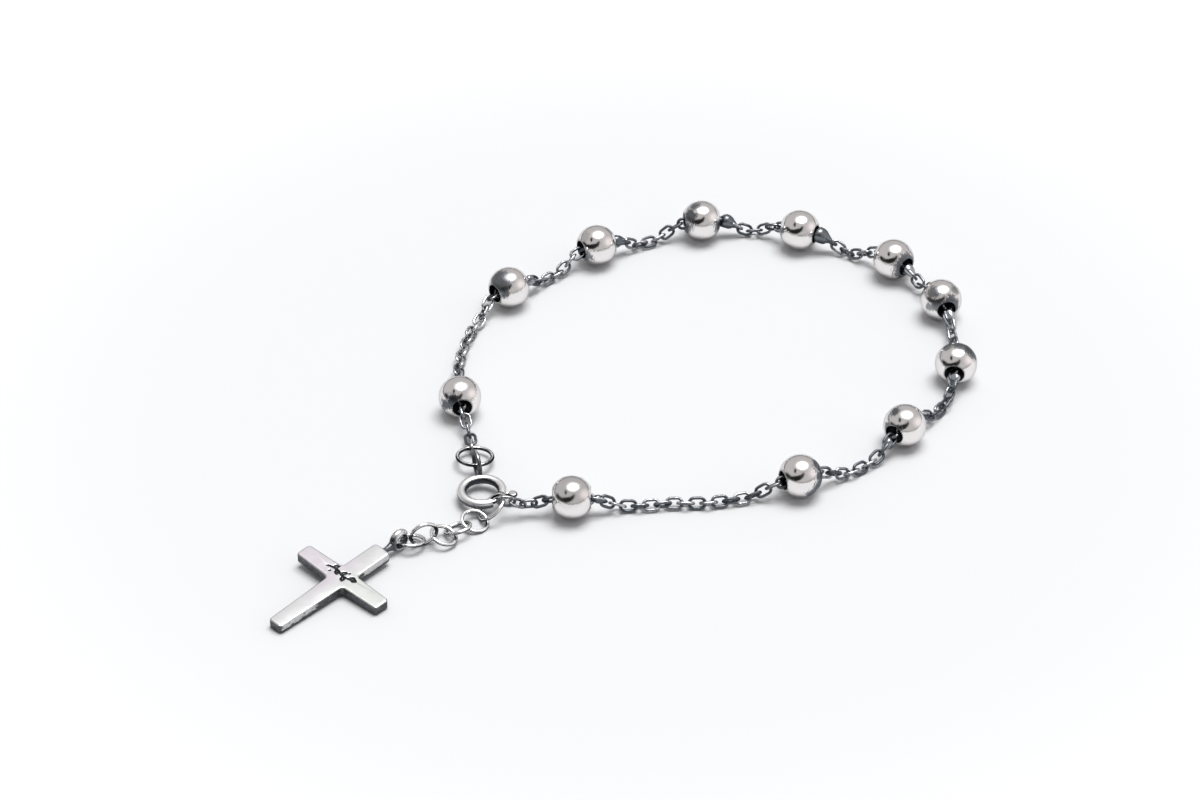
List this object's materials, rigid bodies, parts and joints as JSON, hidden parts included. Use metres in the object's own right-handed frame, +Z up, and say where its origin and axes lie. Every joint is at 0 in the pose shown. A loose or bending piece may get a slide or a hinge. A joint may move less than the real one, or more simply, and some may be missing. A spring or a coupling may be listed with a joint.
{
  "type": "rosary bracelet",
  "caption": "Closed silver rosary bracelet: hollow drilled beads on an oval cable chain with soldered stops, a spring ring clasp, and a small Latin cross on a tail of jump rings.",
  "frame": {"origin": "middle of the footprint, on the surface that the bracelet lies on", "axes": "+Z up; +X to the right and +Y away as the loop lies, with the cross at the low X, low Y corner"},
  "size_m": [0.0806, 0.0787, 0.005],
  "materials": {
    "bead_silver": "polished silver with darkened patches",
    "chain_silver": "darkened silver, bright where it rubs",
    "ring_silver": "polished silver",
    "cross_silver": "satin silver with dark sides"
  },
  "bodies": {
    "bracelet": {"bead_01": "bead_silver", "bead_02": "bead_silver", "bead_03": "bead_silver", "bead_04": "bead_silver", "bead_05": "bead_silver", "bead_06": "bead_silver", "bead_07": "bead_silver", "bead_08": "bead_silver", "bead_09": "bead_silver", "bead_10": "bead_silver", "bead_11": "bead_silver", "chain_far": "chain_silver", "chain_near": "chain_silver", "hook_ring": "ring_silver", "clasp_ring": "ring_silver", "tail_ring_1": "ring_silver", "tail_ring_2": "ring_silver", "tail_ring_3": "ring_silver", "tail_ring_4": "ring_silver", "tail_ring_5": "ring_silver", "tail_ring_6": "ring_silver", "cross": "cross_silver"},
    "gate": {"clasp_gate": "ring_silver"}
  },
  "joints": [
    {"name": "gate_slide", "type": "hinge", "parent": "bracelet", "child": "gate", "pos_m": [-0.0178, -0.01615, 0.0013], "axis": [0, 0, 1], "range_deg": [0, 50], "stiffness_Nm_per_rad": 0.00002}
  ]
}
